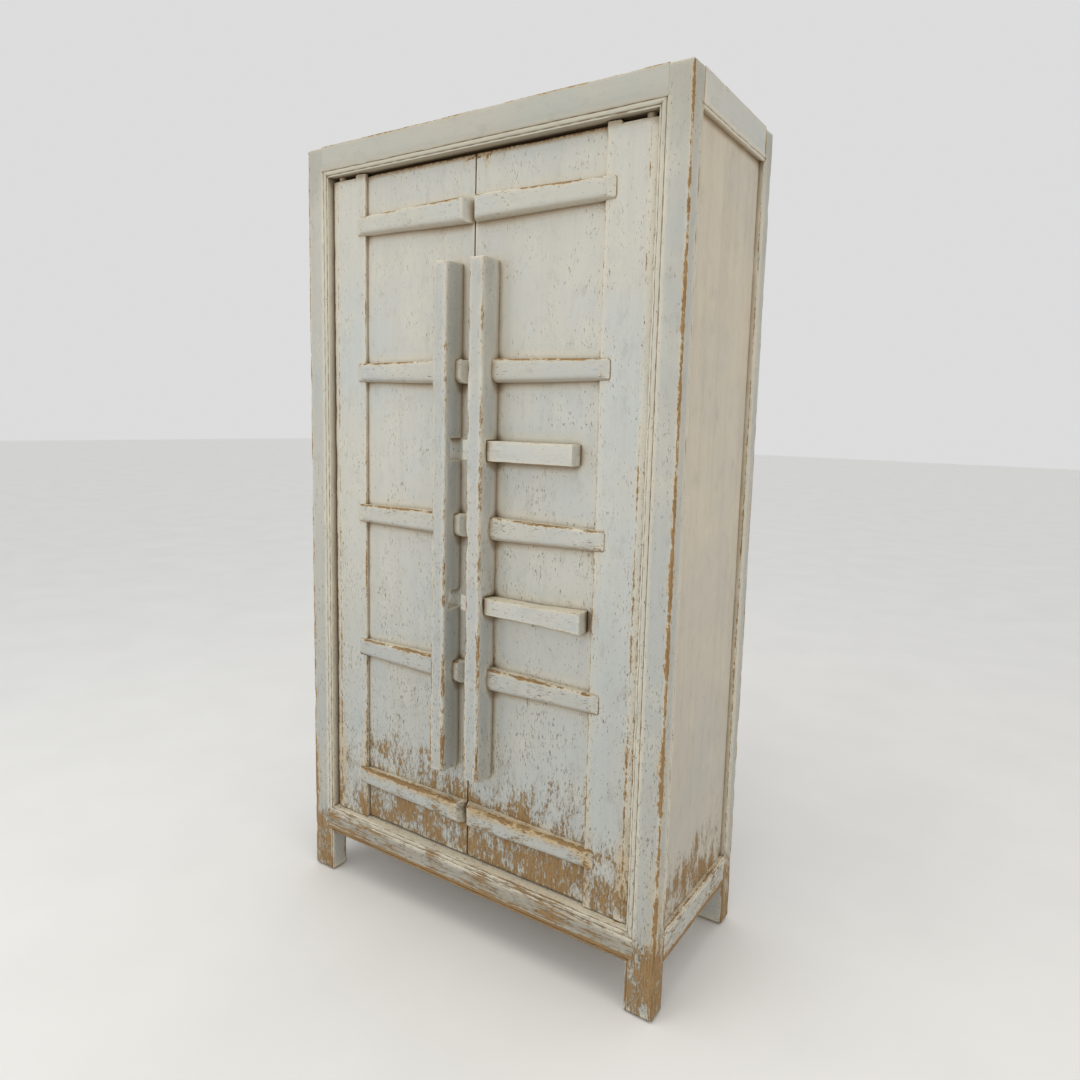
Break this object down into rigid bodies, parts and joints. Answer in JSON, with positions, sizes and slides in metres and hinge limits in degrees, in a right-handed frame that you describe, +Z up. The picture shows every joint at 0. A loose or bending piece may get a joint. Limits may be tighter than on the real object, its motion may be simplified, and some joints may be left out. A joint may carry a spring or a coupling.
{
  "type": "kang cabinet",
  "caption": "Tall painted wooden cupboard with wooden-pivot doors, rounded battens, tall handle posts and sliding wooden bolts, standing on the ends of its posts",
  "frame": {"origin": "middle of the footprint, handle posts included, on the floor", "axes": "+X to the right of someone facing the doors, +Y from the doors to the back, +Z up"},
  "size_m": [1.034, 0.478, 1.9],
  "materials": {
    "frame_paint": "worn chalky off-white paint",
    "door_paint": "worn chalky off-white paint",
    "side_panel_paint": "matt greige paint, streaked",
    "bolt_paint": "worn chalky off-white paint, handled",
    "inner_wood": "bare old softwood"
  },
  "bodies": {
    "cabinet": {"back_board_1": "inner_wood", "back_board_2": "inner_wood", "back_board_3": "inner_wood", "back_board_4": "inner_wood", "back_post_left": "frame_paint", "back_post_right": "frame_paint", "back_rail_bottom": "frame_paint", "back_rail_middle": "frame_paint", "back_rail_top": "frame_paint", "door_stop_bottom": "inner_wood", "door_stop_top": "inner_wood", "floor_batten": "inner_wood", "floor_board_back": "inner_wood", "floor_board_front": "inner_wood", "front_post_left": "frame_paint", "front_post_right": "frame_paint", "head_rail": "frame_paint", "shelf_1": "inner_wood", "shelf_2": "inner_wood", "shelf_3": "inner_wood", "shelf_bearer_1_left": "inner_wood", "shelf_bearer_1_right": "inner_wood", "shelf_bearer_2_left": "inner_wood", "shelf_bearer_2_right": "inner_wood", "shelf_bearer_3_left": "inner_wood", "shelf_bearer_3_right": "inner_wood", "side_panel_left": "side_panel_paint", "side_panel_right": "side_panel_paint", "side_rail_bottom_left": "frame_paint", "side_rail_bottom_right": "frame_paint", "side_rail_top_left": "frame_paint", "side_rail_top_right": "frame_paint", "sill_rail": "frame_paint", "top_batten": "inner_wood", "top_board_back": "inner_wood", "top_board_front": "inner_wood"},
    "door_left": {"door_batten_1_left": "door_paint", "door_batten_2_left": "door_paint", "door_batten_3_left": "door_paint", "door_batten_4_left": "door_paint", "door_batten_5_left": "door_paint", "door_panel_left": "door_paint", "door_stile_left": "door_paint", "handle_post_left": "door_paint"},
    "door_right": {"door_batten_1_right": "door_paint", "door_batten_2_right": "door_paint", "door_batten_3_right": "door_paint", "door_batten_4_right": "door_paint", "door_batten_5_right": "door_paint", "door_panel_right": "door_paint", "door_stile_right": "door_paint", "handle_post_right": "door_paint"},
    "bolt_upper": {"bolt_upper": "bolt_paint"},
    "bolt_lower": {"bolt_lower": "bolt_paint"}
  },
  "joints": [
    {"name": "door_left_pivot", "type": "hinge", "parent": "cabinet", "child": "door_left", "pos_m": [-0.421, -0.175, 0.95], "axis": [0, 0, -1], "range_deg": [0, 105]},
    {"name": "door_right_pivot", "type": "hinge", "parent": "cabinet", "child": "door_right", "pos_m": [0.421, -0.175, 0.95], "axis": [0, 0, 1], "range_deg": [0, 105]},
    {"name": "bolt_upper_slide", "type": "slide", "parent": "door_right", "child": "bolt_upper", "axis": [1, 0, 0], "range_m": [-0.102, 0]},
    {"name": "bolt_lower_slide", "type": "slide", "parent": "door_right", "child": "bolt_lower", "axis": [1, 0, 0], "range_m": [-0.129, 0]}
  ]
}
